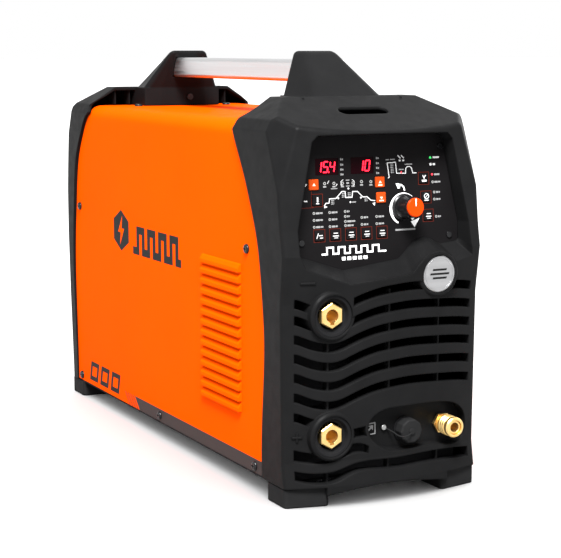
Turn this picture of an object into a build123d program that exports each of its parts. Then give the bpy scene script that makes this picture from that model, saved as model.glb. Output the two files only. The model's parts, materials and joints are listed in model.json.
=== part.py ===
"""Inverter TIG welding power source, as an assembly of separate named sub-parts.

Millimetres. +Z up, the front faces -Y, +X is the right-hand side seen from the front.
The origin is at the centre of the footprint, on the floor.
"""

import math
import os

from build123d import *

os.makedirs("parts", exist_ok=True)

# ---------------------------------------------------------------- driving dimensions

# The shapes below are drawn about the handle's middle; the origin is mid-way along
origin_y = 15.75

# Steel enclosure
sheet = 1.5
cover_half = 109.7
cover_top = 381.0
cover_bottom = 21.0
cover_corner = 16.0
cover_tuck = 8.0
chassis_bottom = 19.0
chassis_top = 20.6
flange_out = 107.6
flange_top = 46.0

# Edges of the moulded ends where they meet the cover, as (y, z)
front_edge = [(-208, 371), (-218, 354), (-233, 331), (-248, 303), (-265, 262),
              (-274, 213), (-278.5, 163), (-275, 112), (-270, 59), (-270, 20)]
rear_edge = [(225, 373), (240, 363), (256, 343), (269, 323), (285, 257),
             (292, 204), (293, 125), (290, 20)]

# Moulded ends
roof_z = 404.0
roof_half = 78.0
roof_edge_y = 223.0
roof_break_y = 250.0
shoulder_x, shoulder_z = 109.5, 383.0
side_top_z = 372.0
bezel_half_low = 111.5
bezel_half = 114.2
bezel_inner = 110.0
skin = 3.0
front_axis_y = -16.0
front_radius = [(-10, 325.5), (21, 325.5), (46, 321.0), (205, 322.0), (252, 328.0),
                (277, 323.5), (376, 311.5), (440, 306.0)]
roof_slope = 27.0 / 64.0
facet_normal = (0.780, -0.574, 0.2475)
facet_offset = 346.0
corner_round = 5.0
brow_round = 6.0
roof_slot_x, roof_slot_y = -3.0, -282.0
roof_slot_len, roof_slot_w = 56.0, 15.0
rear_profile = [(305, 20), (309, 136), (310, 216), (308, 269), (302, 321), (297, 361),
                (294, 374)]

# Handle towers and bar
tower_base = [(37.7, 247.0), (50.5, 190.0), (30.0, 187.0)]
tower_top = [(17.6, 180.4), (25.0, 166.5), (18.0, 165.0)]
tower_top_z = 449.6
tower_foot_z = 381.5
tower_hollow_z = 400.0
tower_round = 4.0
tower_corner_low, tower_corner_high = 8.0, 4.6
bar_half = 16.0
bar_z0, bar_z1 = 417.0, 441.0
bar_end_y = 184.0
bar_fit = 0.15

# Sunk display opening: outline at the front skin and at the panel, from top left clockwise
open_front = [(-82, 364), (-75.5, 370.5), (75.5, 370.5), (82, 364), (99.5, 277), (101, 252)]
open_back = [(-79, 361), (-73, 367), (73, 367), (79, 361), (96, 277), (95.5, 259)]
chin_front = [(105, 237), (79.5, 236.5), (74, 243), (66, 248), (54.5, 250), (43, 248.5),
              (34.5, 244), (28.5, 238), (23, 231.3), (13.5, 229), (-46.5, 223.3), (-93.5, 238),
              (-99, 252), (-99.5, 277)]
chin_back = [(92.5, 257), (74, 255.3), (68, 257.3), (62.8, 260.4), (56, 262.3), (48.5, 261.6),
             (42, 258.5), (36, 253.5), (31.5, 248.8), (24.3, 242.6), (-39.5, 234.9), (-86, 249.6),
             (-94.5, 256), (-96, 277)]
chin_front_y, chin_back_y = -336.0, -306.0

# Control panel, a flat plate that leans back a little
panel_z = 310.0
panel_y = -299.0 - 8.0 / 119.0 * (369.0 - panel_z)
panel_lean = math.atan2(8.0, 119.0)
panel_t = 3.0
key_size = 10.6
key_gap = 0.3
key_proud = 1.2
key_flange = 12.4
board_c = -9.0
knob_x, knob_z = 31.7, 293.5
knob_r = 12.0
knob_skirt_r = 13.6
knob_len = 23.0
knob_cap_r = 9.5
display_w, display_h = 25.8, 16.4
displays = {"current_display": (-54.5, 336.9), "value_display": (-14.7, 336.9)}
keys = {"polarity_up_key": (-70.0, 319.7), "polarity_down_key": (-66.5, 304.4),
        "parameter_next_key": (5.0, 319.7), "parameter_back_key": (6.0, 304.2),
        "pulse_key": (-65.0, 269.5), "process_key": (-47.2, 269.5), "waveform_key": (-29.4, 269.5),
        "trigger_mode_key": (-11.6, 269.5), "recall_key": (6.2, 269.5), "gas_test_key": (56.6, 321.8),
        "remote_key": (58.9, 302.6), "spot_key": (61.0, 284.0)}
panel_screw_at = [(-76.3, 353.7), (76.3, 353.7), (-85.3, 263.0), (85.3, 263.0)]

# Badge
badge_x, badge_z, badge_r, badge_ring_r = 54.5, 228.0, 18.8, 23.2

# Grille
wave = [(-104, 0.5), (-100, 0), (-88, -4.5), (-76, -8.3), (-66, -9.6), (-56, -8.3), (-45, -4),
        (-34, 0.5), (-23, 4), (-12, 6.5), (0, 8), (15, 9.3), (35, 9.5), (62, 8), (85, 6), (104, 3)]
bar_tops = [203.5, 184.5, 165.5, 146.5, 127.0, 107.3]
slot_h = 9.2
slot_left, slot_right = -101.0, 102.5
rib_x = (-66.0, 0.0, 61.0)
grille_r = 311.5

# Welding sockets
socket_x = -63.7
socket_z = {"upper": 192.6, "lower": 71.5}
socket_ring_r = 24.9
socket_flange_r = 20.6
contact_af = 23.0
contact_bore = 6.75
contact_depth = 24.0
plate_front_y, plate_back_y = -297.0, -295.0

# Sunk connector pocket
pocket = [(-24.8, 73.5), (-22.7, 84.6), (-11.6, 92.8), (11.6, 95.6), (36.3, 95.8), (62.9, 94.4),
          (84.4, 89.1), (95.2, 79.9), (98.7, 66.5), (92.9, 51.4), (78, 47.0), (63.8, 48.9),
          (37, 50.8), (12.2, 49.9), (-5.5, 53), (-17, 60.4)]
pocket_floor_r = 308.0
pocket_wall = 3.0
pocket_mid_z = 71.0
remote_x, remote_z = 23.8, 68.8
cap_screw_x, cap_screw_z = -1.5, 73.0
gas_x, gas_z = 71.5, 69.0
sleeve_r = 10.5
gas_bore = 5.0
gas_depth = 20.0

# Side louvres
louvre_count = 14
louvre_pitch = 11.28
louvre_z0 = 225.0
louvre_y0, louvre_y1 = -218.5, -120.5
louvre_h = 5.0
louvre_proud = 4.0

# Feet
foot_in, foot_out = 65.6, 111.0
foot_d = 40.5
foot_front_in, foot_front_out = -330.2, -320.2
foot_rear_in, foot_rear_out = 314.5, 311.0
skirt_out, skirt_low = 70.0, 11.8

# Rear
rear_plate_y = 288.0
fan_z = 138.0
fan_size = 120.0
fan_depth = 38.0
fan_bore_r = 57.5
switch_x, switch_z = 52.0, 310.0
gland_x, gland_z = -58.0, 312.0
inlet_x, inlet_z = 76.0, 46.0

# Case screws on each side, as (y, z)
side_screws = [(272, 251), (-233, 251), (276, 28), (8, 28), (-250, 28)]
top_screws = [(60, 188), (-60, 188), (60, -205), (-60, -205)]
screw_head_r, screw_head_h = 5.0, 3.0

# ---------------------------------------------------------------- helpers


def poly(points, radius=0.0):
    """Closed face through 2-D points, its corners rounded if a radius is given."""
    face = make_face(Polyline(*points, close=True))
    return fillet(face.vertices(), radius) if radius else face


def along_x(face, x0, x1):
    """Extrudes a (y, z) face from x0 to x1."""
    return extrude(Plane.YZ.offset(x0) * face, amount=x1 - x0)


def along_y(face, y0, y1):
    """Extrudes an (x, z) face from y0 to y1."""
    return extrude(Plane.XZ.offset(-y1) * face, amount=y1 - y0)


def along_z(face, z0, z1):
    """Extrudes an (x, y) face from z0 to z1."""
    return extrude(Plane.XY.offset(z0) * face, amount=z1 - z0)


def block(x0, x1, y0, y1, z0, z1):
    """Box between its limits."""
    size = Box(x1 - x0, y1 - y0, z1 - z0)
    return Pos((x0 + x1) / 2, (y0 + y1) / 2, (z0 + z1) / 2) * size


def rod_x(y, z, r, x0, x1):
    """Cylinder along X."""
    return along_x(Pos(y, z) * Circle(r), x0, x1)


def rod_y(x, z, r, y0, y1):
    """Cylinder along Y."""
    return along_y(Pos(x, z) * Circle(r), y0, y1)


def rod_z(x, y, r, z0, z1):
    """Cylinder along Z."""
    return along_z(Pos(x, y) * Circle(r), z0, z1)


def turned_y(x, z, profile):
    """Solid turned about the Y line through (x, z), from (radius, y) points."""
    face = make_face(Polyline(*profile, close=True))
    return Pos(x, 0, z) * revolve(face, axis=Axis.Y)


def both_sides(points):
    """Points for x > 0, followed by their mirror images in reverse."""
    return points + [(-x, y) for x, y in reversed(points)]


def mirrored(shape):
    """The shape and its mirror image across x = 0."""
    return shape + mirror(shape, about=Plane.YZ)


def panel_frame(x, z, c=0.0):
    """Plane on the control panel at (x, z), its normal out of the panel; c lifts it."""
    up = Vector(0, math.sin(panel_lean), math.cos(panel_lean))
    out = Vector(0, -math.cos(panel_lean), math.sin(panel_lean))
    rise = (z - panel_z) / math.cos(panel_lean)
    origin = Vector(x, panel_y, panel_z) + up * rise + out * c
    return Plane(origin=origin, x_dir=(1, 0, 0), z_dir=out)


def on_panel(face, x, z, c0, c1):
    """Extrudes a face drawn on the panel at (x, z) from height c0 to c1."""
    return extrude(panel_frame(x, z, c0) * face, amount=c1 - c0)


def save(shape, node):
    """Writes one sub-part, moved so that the origin is mid-way along the machine."""
    solids = [solid.moved(Location((0, origin_y, 0))) for solid in shape.solids()]
    export_step(solids[0] if len(solids) == 1 else Compound(solids), f"parts/{node}.step")


# ---------------------------------------------------------------- moulded ends


def section(inset):
    """Outline of a moulded end across the machine; inset 0 is outside, else the hollow."""
    if inset:
        side = [(bezel_inner, 0), (bezel_inner, 366), (109.2, 376), (104.5, 384.5)]
        return poly(both_sides(side + [(roof_half - 1.5, roof_z - skin)]))
    side = [(bezel_half_low, 20), (bezel_half, 300), (bezel_half, side_top_z)]
    side += [(shoulder_x, shoulder_z), (roof_half, roof_z)]
    face = make_face(Polyline(*both_sides(side), close=True))
    bends = [v for v in face.vertices() if v.Y > 310]
    return fillet(bends, 4.0)


def front_round(inset):
    """Solid of revolution whose surface is the bowed front, moved in by inset."""
    points = [(r - inset, z) for z, r in front_radius]
    outline = [(0, front_radius[0][0])] + points + [(0, front_radius[-1][0])]
    face = make_face(Polyline(*outline, close=True))
    return Pos(0, front_axis_y, 0) * revolve(Plane.XZ * face, axis=Axis.Z)


def bowed(radius):
    """Upright cylinder concentric with the bowed front."""
    return Pos(0, front_axis_y, 225) * Cylinder(radius, 470)


def facet_cutters(inset, facing):
    """Half spaces that slice the upper corners; facing -1 is the front, +1 the rear."""
    cutters = []
    for side in (-1, 1):
        normal = Vector(side * facet_normal[0], facing * -facet_normal[1], facet_normal[2])
        plane = Plane(origin=normal.normalized() * (facet_offset - inset) / 1.0, z_dir=normal)
        cutters.append(plane * Box(900, 900, 300, align=(Align.CENTER, Align.CENTER, Align.MIN)))
    return cutters


def side_outline(edge, facing, inset, outer):
    """(y, z) face of a moulded end: its edge on the cover, its roof and its outer profile."""
    y_sign = facing
    far = -400 if facing < 0 else 0
    if inset:
        start = [(y_sign * 120, 0), (y_sign * 120, roof_z - inset)]
    else:
        start = None
    break_pt = (y_sign * roof_break_y, roof_z - inset)
    if facing < 0:
        low = (far, roof_z - inset - roof_slope * (400 - roof_break_y))
        tail = [break_pt, low, (far, 0 if inset else 20)]
    else:
        tail = [break_pt] + [(y - inset, z) for y, z in reversed(outer)]
        tail[1] = (tail[1][0], tail[1][1] - inset)
        if inset:
            tail.append((tail[-1][0], 0))
    if inset:
        return make_face(Polyline(*(start + tail), close=True))
    curve = Spline(*edge)
    top = Polyline(edge[0], (edge[0][0] + y_sign * 4, 380.5), (y_sign * roof_edge_y, 391),
                   (y_sign * roof_edge_y, roof_z), *tail, edge[-1])
    return make_face(curve + top)


def tower_section(z, inset, corner, facing):
    """Outline of a tower at height z, moved in by inset, its corners rounded."""
    share = (z - roof_z) / (tower_top_z - roof_z)
    points = []
    for (x0, y0), (x1, y1) in zip(both_sides(tower_base), both_sides(tower_top)):
        points.append((x0 + (x1 - x0) * share, facing * (y0 + (y1 - y0) * share)))
    face = poly(points, corner)
    if inset:
        face = offset(face, -inset).faces()[0]
    return Plane.XY.offset(z) * face


def tower_solid(facing):
    """Handle tower with rounded top edges, and its foot, which reaches down to the cover."""
    sections = [tower_section(roof_z, 0, tower_corner_low, facing)]
    for degrees in (0, 30, 60, 88):
        angle = math.radians(degrees)
        z = tower_top_z - tower_round * (1 - math.sin(angle))
        inset = tower_round * (1 - math.cos(angle))
        sections.append(tower_section(z, inset, tower_corner_high, facing))
    foot = [(x, facing * y) for x, y in both_sides([(50.5, 240.0), (50.5, 190.0), (30.0, 187.0)])]
    return loft(sections, ruled=True) + along_z(poly(foot), tower_foot_z, roof_z)


def tower_hollow(facing):
    """Hollow inside a tower's foot."""
    quarter = [(33, 236), (46.5, 225), (46.5, 193.5), (29, 191)]
    ring = [(x, facing * y) for x, y in both_sides(quarter)]
    return along_z(poly(ring), tower_foot_z - 5, tower_hollow_z)


def tower_details(shape, facing):
    """Adds a tower and cuts its hollow, the bar pocket and the screw hole."""
    shape += tower_solid(facing)
    shape -= tower_hollow(facing)
    y_in, y_out = sorted((facing * 150, facing * (bar_end_y + 0.5)))
    shape -= block(-bar_half - bar_fit, bar_half + bar_fit, y_in, y_out,
                   bar_z0 - bar_fit, bar_z1 + bar_fit)
    a, b = sorted((facing * 180, facing * 195))
    shape -= rod_y(9, 392, 2.1, a, b)
    for x in (57, 76):
        y0, y1 = sorted((facing * (roof_edge_y + 4), facing * (roof_break_y + 6)))
        rib_top = roof_z - 1.0 - max(0, x - 60) * 0.2
        shape += mirrored(block(x - 0.8, x + 0.8, y0, y1, cover_top + 1.0, rib_top))
    return shape


def wave_face(low, high, x0, x1):
    """(x, z) face between two heights that follow the grille's wave, from x0 to x1."""
    pts = [p for p in wave if x0 < p[0] < x1]

    def height(x):
        for (xa, za), (xb, zb) in zip(wave, wave[1:]):
            if xa <= x <= xb:
                return za + (zb - za) * (x - xa) / (xb - xa)
        return wave[0][1] if x < wave[0][0] else wave[-1][1]

    xs = [x0] + [p[0] for p in pts] + [x1]
    lower = Spline(*[(x, low + height(x)) for x in xs])
    upper = Spline(*[(x, high + height(x)) for x in xs])
    left = Line((x0, low + height(x0)), (x0, high + height(x0)))
    right = Line((x1, low + height(x1)), (x1, high + height(x1)))
    return make_face(lower + right + upper + left)


def curve_face(lower, upper):
    """(x, z) face between a lower and an upper spline that share their end columns."""
    lo, hi = Spline(*lower), Spline(*upper)
    return make_face(lo + Line(lower[-1], upper[-1]) + hi + Line(lower[0], upper[0]))


def grille_slots():
    """Faces of every air slot, in (x, z)."""
    top = bar_tops[0]
    faces = [wave_face(top, top + slot_h, -42, slot_right)]
    faces.append(wave_face(top - 2.5, top + 6.5, slot_left, -60))
    for top in bar_tops[1:]:
        faces.append(wave_face(top, top + slot_h, slot_left, slot_right))
    faces.append(wave_face(87.5, 96.5, slot_left, -60))
    faces.append(curve_face([(-48, 67.5), (-36, 68), (-20, 69)], [(-48, 76), (-36, 78), (-20, 80)]))
    lower = [(slot_left, 48), (-85, 44.7), (-64, 45), (-44, 51.6), (-24, 50.6)]
    upper = [(slot_left, 59.3), (-85, 55.4), (-64, 55), (-44, 61.7), (-24, 58)]
    faces.append(curve_face(lower, upper))
    lower = [(slot_left, 28.6), (-75, 23.6), (-60, 25), (-42, 32.4), (-11, 33.9), (12, 32.8),
             (37, 33.6), (64, 32.9), (slot_right, 30.5)]
    upper = [(slot_left, 37.9), (-75, 34.6), (-60, 36), (-42, 41.5), (-11, 43.6), (12, 43.4),
             (37, 44.4), (64, 44.2), (slot_right, 40.5)]
    faces.append(curve_face(lower, upper))
    return faces


def display_opening():
    """Cutter for the sunk display: wide at the front skin, narrower at the panel."""
    front = poly(open_front + chin_front)
    back = poly(open_back + chin_back)
    ends = [Plane.XZ.offset(-chin_front_y) * front, Plane.XZ.offset(-chin_back_y) * back]
    body = loft(ends, ruled=True)
    body += along_y(front, chin_front_y - 14, chin_front_y)
    body += along_y(back, chin_back_y, chin_back_y + 14)
    return body


def display_block():
    """Solid backing round the display opening, down to the panel's face."""
    outline = [(-101, 252), (-99.5, 277), (-86, 364), (-79, 374), (79, 374), (86, 364),
               (99.5, 277), (101, 252), (104, 234), (80, 232), (22, 226), (-46, 219), (-98, 233)]
    solid = along_y(poly(outline), -350, -290)
    return solid & half_space_front()


def half_space_front():
    """Everything in front of the control panel's face."""
    box = Box(400, 400, 120, align=(Align.CENTER, Align.CENTER, Align.MIN))
    return panel_frame(0, panel_z) * box


def grown(x, z):
    """A point of the pocket's outline moved outwards by its wall's thickness."""
    near = min(max(x, 0.0), 72.0)
    away = math.hypot(x - near, z - pocket_mid_z)
    return x + (x - near) / away * pocket_wall, z + (z - pocket_mid_z) / away * pocket_wall


def edges_near(shape, places):
    """Edges whose middles lie within 1.9 mm of a place in every coordinate that it gives."""
    found = []
    for edge in shape.edges():
        at = edge.center()
        middle = (abs(at.X), at.Y, at.Z)
        for place in places:
            if all(b is None or abs(a - b) < 1.9 for a, b in zip(middle, place)):
                found.append(edge)
                break
    return found


def soft_front(shape):
    """Rounds the upright corners, the facets' edges and the brow over the display."""
    corners = [e for e in shape.edges() if abs(abs(e.center().X) - 113) < 1.8]
    corners = [e for e in corners if e.center().Y < -313 and e.center().Z < 306]
    facets = edges_near(shape, [(103.8, None, 341.8), (114.2, None, 339.4), (92.1, None, 394.6)])
    shape = fillet(corners + facets, corner_round)
    return fillet(edges_near(shape, [(0, -328.1, 371.1)]), brow_round)


def front_bezel():
    profile = side_outline(front_edge, -1, 0, None)
    outer = along_y(section(0), -360, -150) & along_x(profile, -150, 150)
    outer = outer & front_round(0)
    inside = side_outline(None, -1, skin, None)
    hollow = along_y(section(skin), -360, -100) & along_x(inside, -150, 150)
    hollow = hollow & front_round(skin + 0.5)
    for cutter in facet_cutters(0, -1):
        outer -= cutter
    for cutter in facet_cutters(skin, -1):
        hollow -= cutter
    outer = soft_front(outer)
    shell = outer - hollow

    thick = (outer & block(-105, 105, -350, -290, 22, 217)) - bowed(grille_r)
    shell += thick
    for face in grille_slots():
        shell -= along_y(face, -350, -290)
    ribs = block(-67, -65, -345, -290, 22, 216)
    for x in rib_x[1:]:
        ribs += block(x - 1, x + 1, -345, -290, 22, 216)
    shell += (ribs & bowed(317.0)) - bowed(grille_r - 2.5)

    shell += outer & display_block()
    shell -= display_opening()

    ring = rod_y(badge_x, badge_z, badge_ring_r, -337.5, -312)
    ring = chamfer(ring.faces().sort_by(Axis.Y)[0].edges(), 1.5)
    shell += ring
    shell -= rod_y(badge_x, badge_z, badge_r + 0.2, -345, -334)
    for z in socket_z.values():
        boss = rod_y(socket_x, z, socket_ring_r, -334.5, plate_front_y)
        shell += chamfer(boss.faces().sort_by(Axis.Y)[0].edges(), 2.0)
    for z in socket_z.values():
        shell -= rod_y(socket_x, z, socket_flange_r + 0.2, -345, plate_front_y + 5)

    rim = make_face(Spline(*pocket, periodic=True))
    wall = make_face(Spline(*[grown(x, z) for x, z in pocket], periodic=True))
    shell += (along_y(wall, -350, -295) & outer) - bowed(pocket_floor_r - 3)
    shell -= along_y(rim, -350, -290) - bowed(pocket_floor_r)
    shell -= rod_y(remote_x, remote_z, 9.8, -350, -290)
    shell -= rod_y(gas_x, gas_z, 7.8, -350, -290)
    shell -= rod_y(cap_screw_x, cap_screw_z, 1.7, -350, -290)

    ends = [(-skirt_out, skirt_low), (-skirt_out, 24), (skirt_out, 24), (skirt_out, skirt_low)]
    skirt_edge = Spline(ends[3], (40, 16.4), (0, 19.2), (-40, 16.4), ends[0])
    skirt = make_face(Polyline(*ends) + skirt_edge)
    shell += (along_y(skirt, -350, -250) & front_round(0)) - front_round(4.0)

    shell = tower_details(shell, -1)
    slot = Pos(roof_slot_x, roof_slot_y) * SlotOverall(roof_slot_len, roof_slot_w)
    shell -= along_z(slot, 378, 410)
    tab = block(104.3, 107.9, -290, -222, 240, 262) + block(104.3, 112.5, -292, -280, 240, 262)
    shell += mirrored(tab)
    shell -= mirrored(rod_x(-233, 251, 2.0, 103, 108))
    return shell


def rear_bezel():
    profile = side_outline(rear_edge, 1, 0, rear_profile)
    outer = along_y(section(0), 150, 360) & along_x(profile, -150, 150)
    inside = side_outline(None, 1, skin + 1, rear_profile)
    hollow = along_y(section(skin), 100, 360) & along_x(inside, -150, 150)
    for cutter in facet_cutters(0, 1):
        outer -= cutter
    for cutter in facet_cutters(skin, 1):
        hollow -= cutter
    shell = outer - hollow
    window = [(-96, 362), (96, 362), (99, 352), (99, 34), (96, 30), (-96, 30), (-99, 34),
              (-99, 352)]
    lip = [(x * 1.035, z + (2.5 if z > 200 else -2.5)) for x, z in window]
    shell += (along_y(poly(lip), rear_plate_y + 2, 330) & outer)
    shell -= along_y(poly(window), rear_plate_y - 20, 340)
    shell = tower_details(shell, 1)
    tab = block(104.3, 107.9, 250, 300, 240, 262) + block(104.3, 112.5, 296, 302, 240, 262)
    shell += mirrored(tab)
    shell -= mirrored(rod_x(272, 251, 2.0, 103, 108))
    return shell


# ---------------------------------------------------------------- steel enclosure


def louvre(z):
    """Pressed hood over one louvre on the +X side, its mouth downwards."""
    x = cover_half
    lip = x + louvre_proud
    hood = [(x - 0.3, z + 9.0), (x + 1.6, z + 7.6), (lip, z + 3.6), (lip + 0.3, z)]
    inner = [(lip - 0.9, z), (lip - 1.2, z + 3.2), (x + 0.8, z + 6.2), (x - 0.3, z + 7.2)]
    roof = along_y(poly(hood + inner), louvre_y0, louvre_y1)
    fill = poly(hood + [(x - 0.3, z)])
    cheeks = along_y(fill, louvre_y0, louvre_y0 + 1.2) + along_y(fill, louvre_y1 - 1.2, louvre_y1)
    return roof + cheeks


def cover_face(inset):
    """Outline of the folded cover across the machine."""
    w, top, r = cover_half - inset, cover_top - inset, cover_corner - inset
    arcs = Line((w, cover_bottom), (w, top - r))
    arcs += CenterArc((w - r, top - r), r, 0, 90)
    arcs += Line((w - r, top), (-(w - r), top))
    arcs += CenterArc((-(w - r), top - r), r, 90, 90)
    arcs += Line((-w, top - r), (-w, cover_bottom))
    arcs += Line((-w, cover_bottom), (w, cover_bottom))
    return make_face(arcs)


def top_cover():
    tunnel = along_y(cover_face(0), -300, 300)
    inner_half = cover_half - sheet
    low = poly([(inner_half, 0), (inner_half, 30), (-inner_half, 30), (-inner_half, 0)])
    tunnel -= along_y(cover_face(sheet), -301, 301)
    tunnel -= along_y(low, -301, 301)
    front = [(y - cover_tuck, z) for y, z in front_edge]
    rear = [(y + cover_tuck, z) for y, z in rear_edge]
    front[-1], rear[-1] = (front[-1][0], 15), (rear[-1][0], 15)
    rear = [(min(y, 300.0), z) for y, z in rear]
    sides = Spline(*front) + Line(front[-1], rear[-1]) + Spline(*rear)
    sides += Polyline(rear[0], (236, 385), (-226, 385), front[0])
    cover = tunnel & along_x(make_face(sides), -150, 150)
    for k in range(louvre_count):
        z = louvre_z0 - louvre_pitch * k
        mouth = block(cover_half - 4, cover_half + 4, louvre_y0 + 1.2, louvre_y1 - 1.2, z, z + louvre_h)
        cover -= mirrored(mouth)
        cover += mirrored(louvre(z))
    for y, z in side_screws:
        cover -= rod_x(y, z, 2.0, -115, 115)
    for x, y in top_screws:
        cover -= rod_z(x, y, 2.0, 370, 390)
    return cover


def base_chassis():
    plate = along_z(poly([(-107, -302), (107, -302), (109.5, -280), (109.5, 284), (-109.5, 284),
                          (-109.5, -280)]), chassis_bottom, chassis_top)
    flange = block(flange_out - sheet - 0.1, flange_out, -262, 282, chassis_top, flange_top)
    plate += mirrored(flange)
    for y, z in side_screws[2:]:
        plate -= rod_x(y, z, 2.0, -115, 115)
    for k in range(9):
        plate -= block(-80, 80, -180 + 22 * k, -174 + 22 * k, 15, 25)
    return plate


def foot(side, facing):
    """Rubber foot at one corner."""
    y_in, y_out = (foot_front_in, foot_front_out) if facing < 0 else (-foot_rear_in, -foot_rear_out)
    pts = [(foot_in, y_in), (foot_out, y_out), (foot_out, y_out + foot_d), (foot_in, y_out + foot_d)]
    pts = [(side * x, y if facing < 0 else -y) for x, y in pts]
    body = along_z(poly(pts, 4.0), 0, chassis_bottom)
    return chamfer(body.faces().sort_by(Axis.Z)[0].edges(), 1.0)


def case_screws():
    """Pan-head screws that hold the cover and the towers."""
    parts = []
    for y, z in side_screws:
        head = rod_x(y, z, screw_head_r, cover_half, cover_half + screw_head_h)
        head = fillet(head.faces().sort_by(Axis.X)[-1].edges(), 2.4)
        head += rod_x(y, z, 1.8, cover_half - 7, cover_half)
        head -= block(cover_half + 1.6, cover_half + 4, y - 2.8, y + 2.8, z - 0.6, z + 0.6)
        head -= block(cover_half + 1.6, cover_half + 4, y - 0.6, y + 0.6, z - 2.8, z + 2.8)
        parts += [head, mirror(head, about=Plane.YZ)]
    for x, y in top_screws:
        head = rod_z(x, y, screw_head_r, cover_top, cover_top + screw_head_h)
        head = fillet(head.faces().sort_by(Axis.Z)[-1].edges(), 2.4)
        parts.append(head + rod_z(x, y, 1.8, cover_top - 6, cover_top))
    for facing in (-1, 1):
        y0, y1 = sorted((facing * 184.9, facing * 186.9))
        head = rod_y(9, 392, 4.0, y0, y1)
        shank = rod_y(9, 392, 1.9, *sorted((facing * 186.9, facing * 196)))
        parts.append(head + shank)
    return Compound(children=parts)


# ---------------------------------------------------------------- handle


def handle_bar():
    corners = [(-bar_half, bar_z0), (bar_half, bar_z0), (bar_half, bar_z1), (-bar_half, bar_z1)]
    return along_y(poly(corners, 4.5), -bar_end_y, bar_end_y)


# ---------------------------------------------------------------- controls


def square(size, radius=1.0):
    return RectangleRounded(size, size, radius)


def control_panel():
    outline = [(-84, 372), (84, 372), (100.5, 278), (100.5, 230), (-100.5, 230), (-100.5, 278)]
    local = [(x, (z - panel_z) / math.cos(panel_lean)) for x, z in outline]
    plate = on_panel(poly(local), 0, panel_z, -panel_t, 0)
    for x, z in keys.values():
        plate -= on_panel(square(key_size + 2 * key_gap), x, z, -10, 5)
    for x, z in displays.values():
        plate -= on_panel(Rectangle(display_w + 0.2, display_h + 0.2), x, z, -10, 5)
    for x, z in panel_screw_at:
        plate -= on_panel(Circle(1.7), x, z, -10, 5)
    plate -= on_panel(Circle(4.6), knob_x, knob_z, -10, 5)
    return plate


def control_board():
    board = on_panel(Rectangle(158, 112), 0, panel_z - 2, board_c - 1.6, board_c)
    for x, z in keys.values():
        board += on_panel(Rectangle(6, 6), x, z, board_c, -6.2)
    for x, z in panel_screw_at:
        board += on_panel(Circle(3.4), x, z, board_c, -panel_t)
        board -= on_panel(Circle(1.5), x, z, board_c, -panel_t + 0.01)
    board += on_panel(Rectangle(40, 9), -30, 290, board_c - 9, board_c - 1.6)
    board += on_panel(Rectangle(22, 22), 20, 340, board_c - 4, board_c - 1.6)
    return board


def display(x, z):
    """Two-part LED display set just below the panel's face."""
    return on_panel(Rectangle(display_w, display_h), x, z, board_c, -0.6)


def key(x, z):
    """Square key with a flange behind the panel and a stem to its switch."""
    cap = on_panel(square(key_size), x, z, -3.2, key_proud)
    cap = chamfer(cap.faces().sort_by(Axis.Y)[0].edges(), 0.4)
    cap += on_panel(square(key_flange), x, z, -4.2, -3.2)
    return cap + on_panel(Circle(1.5), x, z, -5.2, -4.2)


def adjust_pot():
    body = on_panel(Rectangle(14, 14), knob_x, knob_z, board_c, -panel_t)
    body += on_panel(Circle(4.4), knob_x, knob_z, -panel_t, 4.0)
    return body - on_panel(Circle(3.05), knob_x, knob_z, board_c + 1.0, 6)


def knob_shaft():
    return on_panel(Circle(3.0), knob_x, knob_z, board_c + 1.5, 18.0)


def adjust_knob():
    frame = panel_frame(knob_x, knob_z)
    profile = [(0, 1.0), (knob_skirt_r, 1.0), (knob_skirt_r, 3.0), (knob_r, 4.2),
               (knob_cap_r + 0.9, knob_len - 2), (knob_cap_r + 0.2, knob_len), (0, knob_len)]
    body = revolve(make_face(Polyline(*[(r, 0, c) for r, c in profile], close=True)), axis=Axis.Z)
    for k in range(24):
        groove = Rot(0, 0, 15 * k) * Pos(knob_r + 0.45, 0, 13) * Rot(0, -5.4, 0) * Cylinder(0.9, 15)
        body -= groove
    body -= Pos(0, 0, 3.0) * Cylinder(7.0, 6.0)
    body -= Pos(0, 0, 9.0) * Cylinder(3.0, 18.0)
    return frame.location * body


def knob_cap():
    cap = on_panel(Circle(knob_cap_r), knob_x, knob_z, knob_len, knob_len + 2.4)
    return chamfer(cap.faces().sort_by(Axis.Y)[0].edges(), 0.8)


def panel_screws():
    parts = []
    for x, z in panel_screw_at:
        head = on_panel(Circle(3.0), x, z, 0, 1.5)
        parts.append(head + on_panel(Circle(1.4), x, z, board_c + 0.4, 0))
    return Compound(children=parts)


def front_badge():
    disc = rod_y(badge_x, badge_z, badge_r, -338.4, -334)
    return chamfer(disc.faces().sort_by(Axis.Y)[0].edges(), 1.2)


# ---------------------------------------------------------------- front connections


def hexagon(across_flats):
    return RegularPolygon(across_flats / math.sqrt(3), 6, major_radius=True)


def socket_flange(z):
    r = socket_flange_r
    profile = [(13.9, -327), (16.0, -328), (17.6, -332.5), (r, -333.2), (r, plate_front_y),
               (13.9, plate_front_y)]
    return turned_y(socket_x, z, profile)


def socket_contact(z):
    body = along_y(Pos(socket_x, z) * Rot(0, 0, 30) * hexagon(contact_af), -331.0, plate_front_y)
    body = chamfer(body.faces().sort_by(Axis.Y)[0].edges(), 0.9)
    body += rod_y(socket_x, z, 6.0, plate_front_y, -272)
    body += rod_y(socket_x, z, 9.5, -295.0, -290.0)
    body -= rod_y(socket_x, z, contact_bore, -340, -331.0 + contact_depth)
    key_way = block(socket_x - 2.2, socket_x + 2.2, -340, -319, z - 9.0, z - 4.0)
    return body - key_way


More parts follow.
